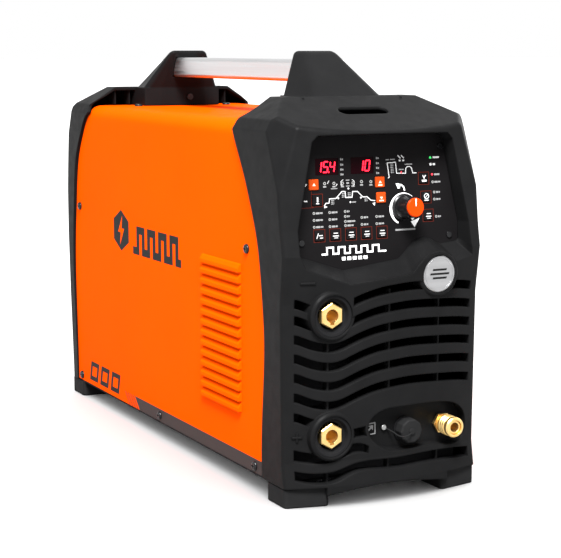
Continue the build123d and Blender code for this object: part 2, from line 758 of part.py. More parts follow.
def front_plate():
    face = poly([(-95, 24), (101, 24), (101, 103), (-25, 103), (-25, 225), (-95, 225)], 3.0)
    plate = along_y(face, plate_front_y, plate_back_y)
    foot_flange = block(-95, 101, plate_back_y, -272, chassis_top, chassis_top + 2)
    plate += foot_flange + block(-95, 101, plate_front_y, plate_back_y, chassis_top, 30)
    for z in socket_z.values():
        plate -= rod_y(socket_x, z, 6.2, -300, -290)
    plate -= rod_y(remote_x, remote_z, 8.2, -300, -290)
    plate -= rod_y(gas_x, gas_z, 7.6, -300, -290)
    return plate


def remote_socket():
    body = rod_y(remote_x, remote_z, 9.4, -333.5, -300)
    body += rod_y(remote_x, remote_z, 13.2, -326.4, -324.4)
    body += rod_y(remote_x, remote_z, 8.0, -300, -284)
    body -= rod_y(remote_x, remote_z, 7.6, -340, -322)
    for k in range(5):
        a = math.radians(72 * k)
        body += rod_y(remote_x + 4 * math.cos(a), remote_z + 4 * math.sin(a), 0.9, -330, -321.5)
    return body


def remote_cap():
    outer = along_y(Pos(remote_x, remote_z) * RegularPolygon(12.6, 10), -339.5, -326.8)
    outer = chamfer(outer.faces().sort_by(Axis.Y)[0].edges(), 1.2)
    outer += rod_y(remote_x, remote_z, 3.0, -341.0, -339.5)
    return outer - rod_y(remote_x, remote_z, 9.75, -336.5, -320)


def cap_screw():
    y = front_axis_y - math.sqrt(pocket_floor_r ** 2 - cap_screw_x ** 2)
    head = rod_y(cap_screw_x, cap_screw_z, 3.0, y - 3.2, y - 1.2)
    head = fillet(head.faces().sort_by(Axis.Y)[0].edges(), 0.9)
    return head + rod_y(cap_screw_x, cap_screw_z, 1.5, y - 1.2, y + 6)


def remote_cap_strap():
    """Keeper cord from the screw's ring to the stub on the cap."""
    y = front_axis_y - math.sqrt(pocket_floor_r ** 2 - cap_screw_x ** 2)
    washer = [(1.9, y - 1.0), (5.0, y - 1.0), (5.0, y - 0.3), (1.9, y - 0.3)]
    ring = turned_y(cap_screw_x, cap_screw_z, washer)
    path = Spline((cap_screw_x + 4.2, y - 0.7, cap_screw_z - 2.0), (5.5, -331, 69.0), (10, -341.5, 65.5),
                  (16, -343.6, 65.8), (remote_x - 2.0, -342.6, remote_z - 1.0))
    cord = sweep(Plane(origin=path @ 0, z_dir=path % 0) * Circle(0.75), path=path)
    return ring + cord


def gas_outlet_body():
    profile = [(gas_bore, -344.5), (6.6, -344.5), (7.4, -343.7), (7.4, -284), (0, -284),
               (0, -320), (gas_bore, -324.5)]
    nut = along_y(Pos(gas_x, gas_z) * hexagon(19.0), -322.4, -318.3)
    return turned_y(gas_x, gas_z, profile) + nut - rod_y(gas_x, gas_z, gas_bore, -330, -322)


def gas_outlet_sleeve():
    r = sleeve_r
    profile = [(7.45, -326.4), (r - 1.4, -326.4), (r - 1.0, -327.2)]
    for k in range(3):
        y = -328.2 - 3.6 * k
        profile += [(r - 0.9, y), (r, y - 0.8), (r, y - 2.4), (r - 0.9, y - 3.2)]
    profile += [(r - 0.6, -340.5), (r, -341.5), (r, -344.6), (r - 1.2, -346.0), (7.45, -346.0)]
    return turned_y(gas_x, gas_z, profile)


# ---------------------------------------------------------------- rear


def rear_plate():
    outline = poly([(-104, 23), (104, 23), (104, 366), (-104, 366)])
    plate = along_y(outline, rear_plate_y, rear_plate_y + 2)
    spokes = block(-60, 60, 279, 301, fan_z - 2, fan_z + 2)
    spokes += block(-2, 2, 279, 301, fan_z - 60, fan_z + 60)
    for ring in range(1, 6):
        r = 10.0 * ring
        slots = rod_y(0, fan_z, r + 3.2, 280, 300) - rod_y(0, fan_z, r - 3.2, 279, 301)
        plate -= slots - spokes
    plate -= rod_y(switch_x, switch_z, 11.3, 280, 300)
    plate -= rod_y(gland_x, gland_z, 12.2, 280, 300)
    plate -= rod_y(inlet_x, inlet_z, 6.7, 280, 300)
    plate += block(-104, 104, 272, rear_plate_y, chassis_top, chassis_top + 2)
    return plate + block(-104, 104, rear_plate_y, rear_plate_y + 2, chassis_top, 24)


def fan_frame():
    half = fan_size / 2
    y1, y0 = rear_plate_y - 0.2, rear_plate_y - 0.2 - fan_depth
    body = along_y(Pos(0, fan_z) * RectangleRounded(fan_size, fan_size, 6), y0, y1)
    body -= rod_y(0, fan_z, fan_bore_r, y0 - 1, y1 + 1)
    body += rod_y(0, fan_z, 18, y0, y0 + 5)
    for k in range(4):
        arm = Rot(0, 0, 45 + 90 * k) * (Pos(38, 0) * Rectangle(42, 5))
        body += along_y(Pos(0, fan_z) * arm, y0, y0 + 3.5)
    body += rod_y(0, fan_z, 2.0, y0 + 5, y1 - 6)
    return body


def fan_rotor():
    y0 = rear_plate_y - 0.2 - fan_depth + 6
    profile = [(2.05, y0), (20, y0), (20, y0 + 24), (18, y0 + 26), (2.05, y0 + 26)]
    hub = turned_y(0, fan_z, profile)
    for k in range(7):
        blade = Pos(37, 0, 0) * Rot(38, 0, 0) * Box(37, 28, 1.6)
        hub += Pos(0, y0 + 12.5, fan_z) * Rot(0, 360 / 7 * k, 0) * blade
    return hub - rod_y(0, fan_z, 2.05, y0 - 1, y0 + 40)


def mains_switch_body():
    y = rear_plate_y
    body = block(switch_x - 24, switch_x + 24, y - 46, y, switch_z - 24, switch_z + 24)
    body += rod_y(switch_x, switch_z, 11.1, y, y + 2)
    dial = block(switch_x - 26, switch_x + 26, y + 2, y + 5, switch_z - 26, switch_z + 26)
    body += fillet(dial.edges().filter_by(Axis.Y), 4.0)
    return body - rod_y(switch_x, switch_z, 4.05, y - 20, y + 10)


def mains_switch_knob():
    y = rear_plate_y + 5.4
    knob = rod_y(switch_x, switch_z, 19, y, y + 4)
    grip = block(switch_x - 5.5, switch_x + 5.5, y + 4, y + 15, switch_z - 18, switch_z + 18)
    knob += fillet(grip.edges().filter_by(Axis.Y), 4.0)
    return knob + rod_y(switch_x, switch_z, 4.0, rear_plate_y - 18, y)


def cable_gland():
    y = rear_plate_y
    body = rod_y(gland_x, gland_z, 12.0, y - 12, y + 2)
    body += along_y(Pos(gland_x, gland_z) * hexagon(32), y + 2, y + 8)
    body += along_y(Pos(gland_x, gland_z) * hexagon(32), y - 9, y - 4)
    cap = [(0, y + 8), (14.5, y + 8), (14.5, y + 14), (11, y + 21), (0, y + 21)]
    body += turned_y(gland_x, gland_z, cap)
    return body - rod_y(gland_x, gland_z, 7.0, y - 20, y + 30)


def gas_inlet():
    y = rear_plate_y
    profile = [(0, y - 12), (6.5, y - 12), (6.5, y + 2), (9.5, y + 2), (9.5, y + 6), (5.5, y + 6),
               (5.0, y + 9), (5.8, y + 11), (4.6, y + 14), (5.6, y + 16), (4.2, y + 20), (0, y + 20)]
    body = turned_y(inlet_x, inlet_z, profile)
    body += rod_y(inlet_x, inlet_z, 9.0, y - 5, y)
    return body - rod_y(inlet_x, inlet_z, 2.6, y - 20, y + 30)


# ---------------------------------------------------------------- inside

deck_z0, deck_z1 = 206.0, 208.0


def mid_deck():
    deck = block(-100, 100, -262, 236, deck_z0, deck_z1)
    deck -= block(-40, 40, -60, 20, deck_z0 - 2, deck_z1 + 2)
    for x in (-94, 94):
        for y in (-254, 226):
            deck += block(x - 5, x + 5, y - 5, y + 5, chassis_top, deck_z0)
    return deck


def power_board():
    board = block(-94, 94, -200, 220, deck_z1 + 8, deck_z1 + 10)
    for x in (-86, 86):
        for y in (-190, 10, 210):
            board += rod_z(x, y, 3.2, deck_z1, deck_z1 + 8)
    for k in range(6):
        board += block(60, 78, -180 + 34 * k, -160 + 34 * k, deck_z1 + 10, deck_z1 + 34)
    board += block(-80, -40, -180, -120, deck_z1 + 10, deck_z1 + 40)
    return board


def capacitors():
    parts = []
    for x in (-60, -18, 24):
        for y in (-60, -14):
            can = rod_z(x, y, 17.5, deck_z1 + 10.2, deck_z1 + 62)
            parts.append(fillet(can.faces().sort_by(Axis.Z)[-1].edges(), 2.0))
    return Compound(children=parts)


def hf_unit():
    body = block(-70, 30, 60, 150, deck_z1 + 10.2, deck_z1 + 16)
    coil = rod_z(-20, 105, 36, deck_z1 + 16, deck_z1 + 52)
    return body + (coil - rod_z(-20, 105, 16, deck_z1 + 15, deck_z1 + 60))


def heatsink():
    body = block(-88, -20, -60, 200, 30, 36)
    for k in range(10):
        body += block(-88 + 7.2 * k, -85.5 + 7.2 * k, -60, 200, 36, 110)
    body += block(-88, -20, -60, -40, chassis_top, 30)
    return body + block(-88, -20, 180, 200, chassis_top, 30)


def main_transformer():
    core = block(0, 78, 50, 160, 24, 112) - block(18, 60, 40, 170, 48, 88)
    coil = block(6, 72, 78, 132, 44, 92)
    feet = block(4, 74, 54, 74, chassis_top, 24) + block(4, 74, 136, 156, chassis_top, 24)
    return core + coil + feet


def output_choke():
    ring = rod_x(-120, 82, 50, 30, 78) - rod_x(-120, 82, 22, 25, 85)
    return ring + block(36, 72, -150, -90, chassis_top, 40) - rod_x(-120, 82, 22, 25, 85)


def busbars():
    """Copper straps from the two contacts' studs to the power parts."""
    x0, x1 = socket_x - 10, socket_x + 10
    upper = block(x0, x1, -286, -283, 180, 203) + block(x0, x1, -283, -210, 180, 183)
    upper += block(x0, x1, -213, -210, 150, 180)
    upper -= rod_y(socket_x, socket_z["upper"], 6.2, -290, -280)
    lower = block(x0, x1, -286, -283, 60, 83) + block(x0, 20, -283, -280, 60, 70)
    lower += block(17, 20, -280, -200, 60, 70)
    lower -= rod_y(socket_x, socket_z["lower"], 6.2, -290, -270)
    return Compound([upper.solid(), lower.solid()])


def gas_valve():
    body = block(58, 88, 196, 240, 30, 56) + block(62, 84, 200, 226, 56, 92)
    body += block(60, 86, 198, 238, chassis_top, 30)
    body += rod_y(inlet_x, inlet_z, 5.0, 240, rear_plate_y - 12)
    return body + rod_y(inlet_x, inlet_z, 5.0, 190, 196)


def gas_hose():
    path = Spline((inlet_x, 189.6, inlet_z), (84, 176, 49), (93, 150, 62), (96, 60, 110), (96, -100, 140),
                  (86, -205, 118), (79, -240, 92), (gas_x + 1.5, -268, 73), (gas_x, -283.6, gas_z),
                  tangents=((0, -1, 0), (0, -1, 0)))
    return sweep(Plane(origin=path @ 0, z_dir=path % 0) * Circle(3.5), path=path)


# ---------------------------------------------------------------- every sub-part

save(base_chassis(), "base_chassis")
save(top_cover(), "top_cover")
save(front_bezel(), "front_bezel")
save(rear_bezel(), "rear_bezel")
save(front_plate(), "front_plate")
save(rear_plate(), "rear_plate")
for side, side_name in ((-1, "left"), (1, "right")):
    for facing, end_name in ((-1, "front"), (1, "rear")):
        save(foot(side, facing), f"{end_name}_{side_name}_foot")
save(case_screws(), "case_screws")
save(handle_bar(), "handle_bar")

save(control_panel(), "control_panel")
save(control_board(), "control_board")
for node, (x, z) in displays.items():
    save(display(x, z), node)
for node, (x, z) in keys.items():
    save(key(x, z), node)
save(adjust_pot(), "adjust_pot")
save(knob_shaft(), "knob_shaft")
save(adjust_knob(), "adjust_knob")
save(knob_cap(), "knob_cap")
save(panel_screws(), "panel_screws")
save(front_badge(), "front_badge")

for name, z in socket_z.items():
    save(socket_flange(z), f"{name}_socket_flange")
    save(socket_contact(z), f"{name}_socket_contact")
save(remote_socket(), "remote_socket")
save(remote_cap(), "remote_cap")
save(cap_screw(), "cap_screw")
save(remote_cap_strap(), "remote_cap_strap")
save(gas_outlet_body(), "gas_outlet_body")
save(gas_outlet_sleeve(), "gas_outlet_sleeve")

save(fan_frame(), "fan_frame")
save(fan_rotor(), "fan_rotor")
save(mains_switch_body(), "mains_switch_body")
save(mains_switch_knob(), "mains_switch_knob")
save(cable_gland(), "cable_gland")
save(gas_inlet(), "gas_inlet")

save(mid_deck(), "mid_deck")
save(power_board(), "power_board")
save(capacitors(), "capacitors")
save(hf_unit(), "hf_unit")
save(heatsink(), "heatsink")
save(main_transformer(), "main_transformer")
save(output_choke(), "output_choke")
save(busbars(), "busbars")
save(gas_valve(), "gas_valve")
save(gas_hose(), "gas_hose")
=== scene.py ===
"""Looks of an inverter TIG welding power source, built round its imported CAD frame.

Metres, in the CAD's frame: +Z up, the front faces -Y, +X is the right-hand side seen from the front.
Marks are drawn in millimetres on flat or bowed faces of the frame.
"""

import json
import math

import bmesh
import bpy
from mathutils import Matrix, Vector


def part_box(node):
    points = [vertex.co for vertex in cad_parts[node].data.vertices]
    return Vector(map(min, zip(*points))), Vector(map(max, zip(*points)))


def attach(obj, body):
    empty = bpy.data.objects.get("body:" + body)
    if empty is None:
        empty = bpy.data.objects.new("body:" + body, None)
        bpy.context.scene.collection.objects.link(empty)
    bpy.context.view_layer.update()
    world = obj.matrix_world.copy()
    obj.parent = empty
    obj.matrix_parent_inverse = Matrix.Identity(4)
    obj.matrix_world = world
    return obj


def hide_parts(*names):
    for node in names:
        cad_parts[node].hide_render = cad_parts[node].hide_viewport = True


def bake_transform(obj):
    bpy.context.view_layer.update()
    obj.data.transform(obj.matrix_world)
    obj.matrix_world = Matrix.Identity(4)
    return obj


MM = 0.001
CASE = "power_source"

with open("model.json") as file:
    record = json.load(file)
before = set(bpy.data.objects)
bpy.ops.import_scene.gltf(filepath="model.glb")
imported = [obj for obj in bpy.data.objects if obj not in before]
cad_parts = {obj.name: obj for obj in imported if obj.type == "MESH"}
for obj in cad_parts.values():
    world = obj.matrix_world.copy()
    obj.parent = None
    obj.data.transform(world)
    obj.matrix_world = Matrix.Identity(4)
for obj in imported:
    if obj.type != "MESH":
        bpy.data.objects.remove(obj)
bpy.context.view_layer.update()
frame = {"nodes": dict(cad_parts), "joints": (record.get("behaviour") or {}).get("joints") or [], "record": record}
joints = {joint["name"]: joint for joint in frame["joints"]}
bodies = frame["record"]["behaviour"]["bodies"]
body_of_node = {node: body for body, nodes in bodies.items() for node in nodes}


def middle(node):
    """Centre of a CAD node's box, in metres."""
    low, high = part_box(node)
    return (low + high) / 2


# ---------------------------------------------------------------- materials


class Finish:
    """A Principled material being put together from noise, grain and rounded edges."""

    def __init__(self, name, color, roughness, **sockets):
        self.material = bpy.data.materials.new(name)
        self.material.use_nodes = True
        self.tree = self.material.node_tree
        self.shader = self.tree.nodes["Principled BSDF"]
        self.color = (*color, 1.0)
        self.roughness = roughness
        self.place = self.tree.nodes.new("ShaderNodeTexCoord").outputs["Object"]
        self.normal = None
        self.set("Base Color", self.color)
        self.set("Roughness", roughness)
        for socket, value in sockets.items():
            self.set(socket.replace("_", " ").title().replace("Ior", "IOR"), value)

    def set(self, socket, value):
        self.shader.inputs[socket].default_value = value

    def node(self, kind, **values):
        """Adds a node; values that are sockets are linked, the rest are set."""
        made = self.tree.nodes.new(kind)
        for name, value in values.items():
            socket = made.inputs[name.replace("_", " ")]
            if isinstance(value, bpy.types.NodeSocket):
                self.tree.links.new(value, socket)
            else:
                socket.default_value = value
        return made

    def noise(self, scale, stretch=(1, 1, 1), detail=3.0):
        """Noise with features about 1/scale metres wide, drawn out along an axis by stretch."""
        place = self.node("ShaderNodeMapping", Vector=self.place, Scale=stretch).outputs[0]
        return self.node("ShaderNodeTexNoise", Vector=place, Scale=scale, Detail=detail).outputs[0]

    def between(self, value, low, high):
        """Maps the middle of a noise onto low to high."""
        ranged = self.node("ShaderNodeMapRange", Value=value)
        for name, number in (("From Min", 0.3), ("From Max", 0.7), ("To Min", low), ("To Max", high)):
            ranged.inputs[name].default_value = number
        return ranged.outputs[0]

    def mottled(self, scale, other, stretch=(1, 1, 1)):
        """Varies the colour towards another one."""
        mix = self.tree.nodes.new("ShaderNodeMix")
        mix.data_type = "RGBA"
        colors = [socket for socket in mix.inputs if socket.type == "RGBA"]
        colors[0].default_value = self.color
        colors[1].default_value = (*other, 1.0)
        self.tree.links.new(self.between(self.noise(scale, stretch), 0, 1), mix.inputs[0])
        result = [socket for socket in mix.outputs if socket.type == "RGBA"][0]
        self.tree.links.new(result, self.shader.inputs["Base Color"])
        return self

    def uneven(self, scale, spread, stretch=(1, 1, 1)):
        """Varies the roughness either way by spread."""
        value = self.between(self.noise(scale, stretch), self.roughness - spread, self.roughness + spread)
        self.tree.links.new(value, self.shader.inputs["Roughness"])
        return self

    def soft_edges(self, radius):
        """Rounds hard edges by radius in millimetres."""
        bevel = self.node("ShaderNodeBevel", Radius=radius * MM)
        bevel.samples = 4
        self.normal = bevel.outputs[0]
        self.tree.links.new(self.normal, self.shader.inputs["Normal"])
        return self

    def grained(self, scale, strength, depth, stretch=(1, 1, 1)):
        """Raises a fine grain; depth is in millimetres."""
        bump = self.node("ShaderNodeBump", Height=self.noise(scale, stretch, 2.0))
        bump.inputs["Strength"].default_value = strength
        bump.inputs["Distance"].default_value = depth * MM
        if self.normal:
            self.tree.links.new(self.normal, bump.inputs["Normal"])
        self.normal = bump.outputs[0]
        self.tree.links.new(self.normal, self.shader.inputs["Normal"])
        return self

    def done(self):
        return self.material


def powder_coat(name, color, shade):
    """Matt sprayed paint with a faint orange peel."""
    finish = Finish(name, color, 0.38, specular_ior_level=0.001)
    return finish.mottled(9, shade).uneven(60, 0.05).soft_edges(0.6).grained(1400, 0.25, 0.05).done()


def moulded_plastic(name, color, shade, roughness, edge, grain=0.5, gloss=0.03):
    """Moulded plastic or rubber with a spark-eroded grain."""
    finish = Finish(name, color, roughness, specular_ior_level=gloss)
    return finish.mottled(40, shade).uneven(90, 0.06).soft_edges(edge).grained(2200, grain, 0.08).done()


def gloss_plastic(name, color, shade, roughness=0.22):
    """Smooth shiny plastic or varnish."""
    finish = Finish(name, color, roughness, specular_ior_level=0.5)
    return finish.mottled(70, shade).uneven(200, 0.05).soft_edges(0.3).grained(900, 0.1, 0.03).done()


def metal(name, color, shade, roughness, stretch, grain=0.3):
    """Bare metal with machining or drawing lines along the axis that stretch leaves long."""
    finish = Finish(name, color, roughness, metallic=1.0)
    finish.mottled(120, shade, stretch).uneven(700, 0.09, stretch)
    return finish.soft_edges(0.25).grained(1800, grain, 0.02, stretch).done()


def glowing(name, color, strength):
    """A lit lamp or display segment."""
    finish = Finish(name, color, 0.4, emission_color=(*color, 1.0), emission_strength=strength)
    return finish.mottled(900, tuple(0.8 * part for part in color)).done()


def printed(name, color, roughness=0.42):
    """Screen-printed ink."""
    finish = Finish(name, color, roughness, specular_ior_level=0.04)
    return finish.mottled(300, tuple(0.93 * part for part in color)).uneven(500, 0.05).done()


# Maker, colour and the shade it varies to, then the maker's own values in their order:
# moulded_plastic takes roughness, edge radius in mm, grain and gloss; gloss_plastic takes roughness;
# metal takes roughness, the lay of its machining lines and grain.
recipes = {
    "orange_paint": (powder_coat, (0.80, 0.067, 0.0), (0.77, 0.063, 0.0)),
    "dark_steel": (powder_coat, (0.012, 0.012, 0.013), (0.018, 0.018, 0.019)),
    "dark_moulding": (moulded_plastic, (0.0055, 0.0055, 0.0057), (0.0066, 0.0066, 0.0068), 0.42, 2.4),
    "rubber": (moulded_plastic, (0.0095, 0.0095, 0.0098), (0.0125, 0.0125, 0.0128), 0.62, 1.2, 0.9),
    "screw_black": (moulded_plastic, (0.004, 0.004, 0.0045), (0.008, 0.008, 0.0085), 0.25, 0.3, 0.1, 0.25),
    "screw_zinc": (metal, (0.36, 0.36, 0.355), (0.28, 0.28, 0.275), 0.35, (1, 1, 1)),
    "zinc_metal": (metal, (0.5, 0.5, 0.49), (0.4, 0.4, 0.4), 0.35, (1, 1, 1)),
    "bar_aluminium": (metal, (0.62, 0.62, 0.625), (0.58, 0.58, 0.585), 0.36, (1, 0.02, 1), 0.15),
    "panel_film": (moulded_plastic, (0.0046, 0.0042, 0.0045), (0.0054, 0.0050, 0.0053), 0.5, 0.2, 0.25),
    "circuit_board": (gloss_plastic, (0.01, 0.10, 0.03), (0.02, 0.15, 0.05), 0.4),
    "display_red": (moulded_plastic, (0.0070, 0.0006, 0.0016), (0.0050, 0.0005, 0.0010), 0.25, 0.2, 0.1),
    "key_orange": (moulded_plastic, (0.38, 0.045, 0.006), (0.33, 0.038, 0.004), 0.4, 0.8, 0.2, 0.04),
    "key_dark": (moulded_plastic, (0.0046, 0.0042, 0.0045), (0.0060, 0.0056, 0.0060), 0.45, 0.4, 0.25),
    "knob_black": (moulded_plastic, (0.004, 0.004, 0.0045), (0.007, 0.007, 0.0075), 0.3, 0.5, 0.1, 0.25),
    "knob_orange": (moulded_plastic, (0.56, 0.035, 0.0005), (0.50, 0.031, 0.0005), 0.3, 0.6, 0.1, 0.05),
    "badge_metal": (metal, (0.42, 0.42, 0.425), (0.33, 0.33, 0.335), 0.4, (0.05, 1, 1)),
    "socket_black": (moulded_plastic, (0.006, 0.006, 0.0065), (0.010, 0.010, 0.0105), 0.4, 0.8, 0.3),
    "brass": (metal, (0.84, 0.60, 0.25), (0.72, 0.48, 0.17), 0.4, (1, 0.05, 1)),
    "copper": (metal, (0.80, 0.36, 0.20), (0.60, 0.25, 0.14), 0.35, (1, 1, 1)),
    "core_steel": (moulded_plastic, (0.05, 0.05, 0.052), (0.08, 0.07, 0.06), 0.55, 0.4, 0.6),
    "capacitor_sleeve": (gloss_plastic, (0.01, 0.02, 0.07), (0.008, 0.015, 0.05)),
    "heatsink_aluminium": (metal, (0.62, 0.62, 0.63), (0.5, 0.5, 0.51), 0.42, (1, 0.05, 1)),
    "hose_rubber": (moulded_plastic, (0.012, 0.012, 0.014), (0.02, 0.02, 0.022), 0.5, 0.3, 0.4),
}
finishes = {name: make(name, *values) for name, (make, *values) in recipes.items()}

WHITE = printed("mark_white", (0.93, 0.93, 0.93))
PALE = printed("mark_pale", (0.50, 0.50, 0.50))
GREY = printed("mark_grey", (0.21, 0.21, 0.21))
RED = printed("mark_red", (0.070, 0.010, 0.006))
CHARCOAL = printed("mark_charcoal", (0.036, 0.028, 0.027), 0.5)
SLASH_RED = printed("mark_slash", (0.17, 0.011, 0.008), 0.5)
INK = printed("mark_ink", (0.009, 0.009, 0.009), 0.5)
SEGMENT = glowing("segment_red", (1.0, 0.006, 0.024), 4.5)
LAMP_GREEN = glowing("lamp_green", (0.02, 0.42, 0.08), 1.2)
LAMP_RED = glowing("lamp_red", (0.75, 0.03, 0.05), 0.8)
# Near-black finish of the sheet behind the grille: painted shade inside the slots
SLOT_SHADE = moulded_plastic("slot_shade_black", (0.003, 0.003, 0.003), (0.005, 0.005, 0.005), 0.9, 0.2, 1.0, 0.05)
LAMP_OFF = printed("lamp_off", (0.22, 0.22, 0.215), 0.25)

for part in frame["record"]["subparts"]:
    shown = frame["nodes"][part["node"]]
    shown.data.materials.clear()
    shown.data.materials.append(finishes[part["material_slot"]])


# ---------------------------------------------------------------- faces that marks are drawn on


class Flat:
    """A flat face: a place (u, v) on it is in millimetres, and c is the height above it."""

    def __init__(self, origin, across, up):
        self.origin = Vector(origin)
        self.across = Vector(across)
        self.up = Vector(up)
        self.out = self.across.cross(self.up).normalized()

    def at(self, u, v, c):
        return self.origin + (self.across * u + self.up * v + self.out * c) * MM


class Bowed:
    """The front's upright cylinder of a given radius, in millimetres, about x = 0."""

    def __init__(self, axis_y, radius):
        self.axis_y = axis_y
        self.radius = radius

    def at(self, u, v, c):
        radius = self.radius + c
        return Vector((u, self.axis_y - math.sqrt(radius**2 - u**2), v)) * MM


SHARPEST_MITRE = 0.4  # cosine of half the turn at a corner, below which its mitre is cut short


class Marks:
    """Printed or inlaid marks of one material on one face, which become one piece.

    They reach from low to high over the face, in millimetres.
    """

    def __init__(self, name, face, material, slot, body=CASE, low=-0.03, high=0.12):
        self.name = name
        self.face = face
        self.material = material
        self.slot = slot
        self.body = body
        self.low = low
        self.high = high
        self.mesh = bmesh.new()

    def poly(self, points):
        """A flat plate with this outline, drawn either way round."""
        area = sum(a[0] * b[1] - b[0] * a[1] for a, b in zip(points, points[1:] + points[:1]))
        ordered = points if area > 0 else points[::-1]
        bottom = [self.mesh.verts.new(self.face.at(*p, self.low)) for p in ordered]
        top = [self.mesh.verts.new(self.face.at(*p, self.high)) for p in ordered]
        self.mesh.faces.new(top)
        self.mesh.faces.new(bottom[::-1])
        for i in range(len(top)):
            j = (i + 1) % len(top)
            self.mesh.faces.new((bottom[i], bottom[j], top[j], top[i]))
        return self

    def box(self, u0, u1, v0, v1, lean=0.0):
        """A block; lean shifts its top edge sideways."""
        return self.poly([(u0, v0), (u1, v0), (u1 + lean, v1), (u0 + lean, v1)])

    def line(self, points, width, closed=False):
        """A stroke along points, with mitred corners."""
        left = []
        right = []
        count = len(points)
        for i, (u, v) in enumerate(points):
            before = points[i - 1] if i or closed else None
            after = points[(i + 1) % count] if i < count - 1 or closed else None
            steps = []
            if before:
                steps.append(Vector((u - before[0], v - before[1])).normalized())
            if after:
                steps.append(Vector((after[0] - u, after[1] - v)).normalized())
            along = sum(steps, Vector((0, 0))).normalized()
            side = Vector((-along.y, along.x))
            reach = width / 2 / max(SHARPEST_MITRE, side.dot(Vector((-steps[0].y, steps[0].x))))
            left.append((u + side.x * reach, v + side.y * reach))
            right.append((u - side.x * reach, v - side.y * reach))
        spans = range(count if closed else count - 1)
        for i in spans:
            j = (i + 1) % count
            self.poly([right[i], right[j], left[j], left[i]])
        return self

    def disc(self, u, v, r, sides=16):
        turn = 2 * math.pi / sides
        return self.poly([(u + r * math.cos(turn * k), v + r * math.sin(turn * k)) for k in range(sides)])

    def ring(self, u, v, r, width, sides=20):
        turn = 2 * math.pi / sides
        points = [(u + r * math.cos(turn * k), v + r * math.sin(turn * k)) for k in range(sides)]
        return self.line(points, width, closed=True)

    def outline(self, u0, u1, v0, v1, width):
        return self.line([(u0, v0), (u1, v0), (u1, v1), (u0, v1)], width, closed=True)

    def crescent(self, u, v, r, start, end, thin, thick, steps=40):
        """An arc of outer radius r whose width grows from thin to thick, angles in degrees."""
        for k in range(steps):
            quad = []
            for share, inner in ((k, False), (k, True), (k + 1, True), (k + 1, False)):
                angle = math.radians(start + (end - start) * share / steps)
                width = thin + (thick - thin) * math.sin(math.pi * min(1.0, 1.6 * share / steps) / 2)
                radius = r - width if inner else r
                quad.append((u + radius * math.cos(angle), v + radius * math.sin(angle)))
            self.poly(quad)
        return self

    def build(self):
        data = bpy.data.meshes.new(self.name)
        self.mesh.to_mesh(data)
        self.mesh.free()
        data.materials.append(self.material)
        piece = bpy.data.objects.new(self.name, data)
        bpy.context.scene.collection.objects.link(piece)
        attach(piece, self.body)
        return piece


# The control panel's face passes through the control knob's joint, square to its axis
knob_joint = joints["control_knob_turn"]
knob_at = Vector(knob_joint["pos_m"])
panel_out = Vector(knob_joint["axis"])
panel_slope = panel_out.z / -panel_out.y
panel = Flat((0, knob_at.y - knob_at.z * panel_slope, 0), (1, 0, 0), (0, panel_slope, 1))
knob_x, knob_z = knob_at.x / MM, knob_at.z / MM

SIDE_CLEARANCE = 0.2  # from the sheet to the marks' face, in millimetres
side_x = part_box("base_chassis")[1].x / MM + SIDE_CLEARANCE
left_side = Flat((-side_x * MM, 0, 0), (0, -1, 0), (0, 0, 1))
right_side = Flat((side_x * MM, 0, 0), (0, 1, 0), (0, 0, 1))


def pulses(first, count, period, width, low, high):
    """Corners of a train of square pulses that starts at first."""
    corners = []
    for k in range(count):
        rise = first + period * k
        corners += [(rise, low), (rise, high), (rise + width, high), (rise + width, low)]
    return corners


# ---------------------------------------------------------------- printed panel


def key_place(node):
    """Panel coordinates of a key's middle."""
    centre = middle(node)
    return centre.x / MM, centre.z / MM


KEY_PROUD = 1.2  # height of the keys' caps over the panel, in millimetres
KEY_NODES = sorted(node for node in frame["nodes"] if node.endswith("_key"))
ORANGE_KEYS = [p["node"] for p in frame["record"]["subparts"] if p["material_slot"] == "key_orange"]


def lamp_rows(rings, labels, column, rows, widths):
    """A column of indicator lamps, each followed by a short bar as its label."""
    for z, width in zip(rows, widths):
        rings.ring(column, z, 1.0, 0.75, 12)
        labels.box(column + 2.2, column + 2.2 + width * 0.55, z - 1.0, z + 0.9)
        labels.box(column + 2.7 + width * 0.55, column + 2.2 + width, z - 0.8, z + 0.8)


def hatch(marks, x, z, lean=0.6):
    """A small stack of strokes that stands for a parameter's symbol."""
    for k in range(3):
        marks.box(x - 1.4, x + 0.3, z - 2.3 + 1.7 * k, z - 1.3 + 1.7 * k, lean)
        marks.box(x + 0.7, x + 1.8, z - 2.2 + 1.7 * k, z - 1.4 + 1.7 * k, lean)


def weld_cycle(lines, labels):
    """The cycle's curve: start current, slope up, pulse, slope down, crater."""
    cycle = [(-58.7, 298.5), (-56.5, 301), (-53.2, 301), (-52.5, 305.2), (-45.3, 305.3), (-38.4, 311.9),
             (-34.8, 311.8), (-34.3, 305.8), (-27.1, 305.7), (-26.3, 311.4), (-20.8, 311.3), (-14.8, 305.6),
             (-9.9, 305.6), (-5.7, 302), (-0.8, 301.3)]
    lines.line(cycle, 0.9)
    lines.poly([(-58.6, 299.2), (-55.0, 297.2), (-58.6, 296.2)])
    lines.poly([(-4.0, 298.8), (-0.6, 299.6), (-1.4, 296.0)])
    for x, z in ((-49.5, 301.8), (-37.3, 308.2), (-30.6, 308.6), (-11.6, 303.4)):
        hatch(labels, x, z)
    for x, z in ((-42.6, 305.4), (-17.0, 305.0), (-31.0, 314.6), (-29.0, 301.0)):
        lines.disc(x, z, 0.95, 12)
    labels.box(-27.0, -22.8, 300.4, 301.5)


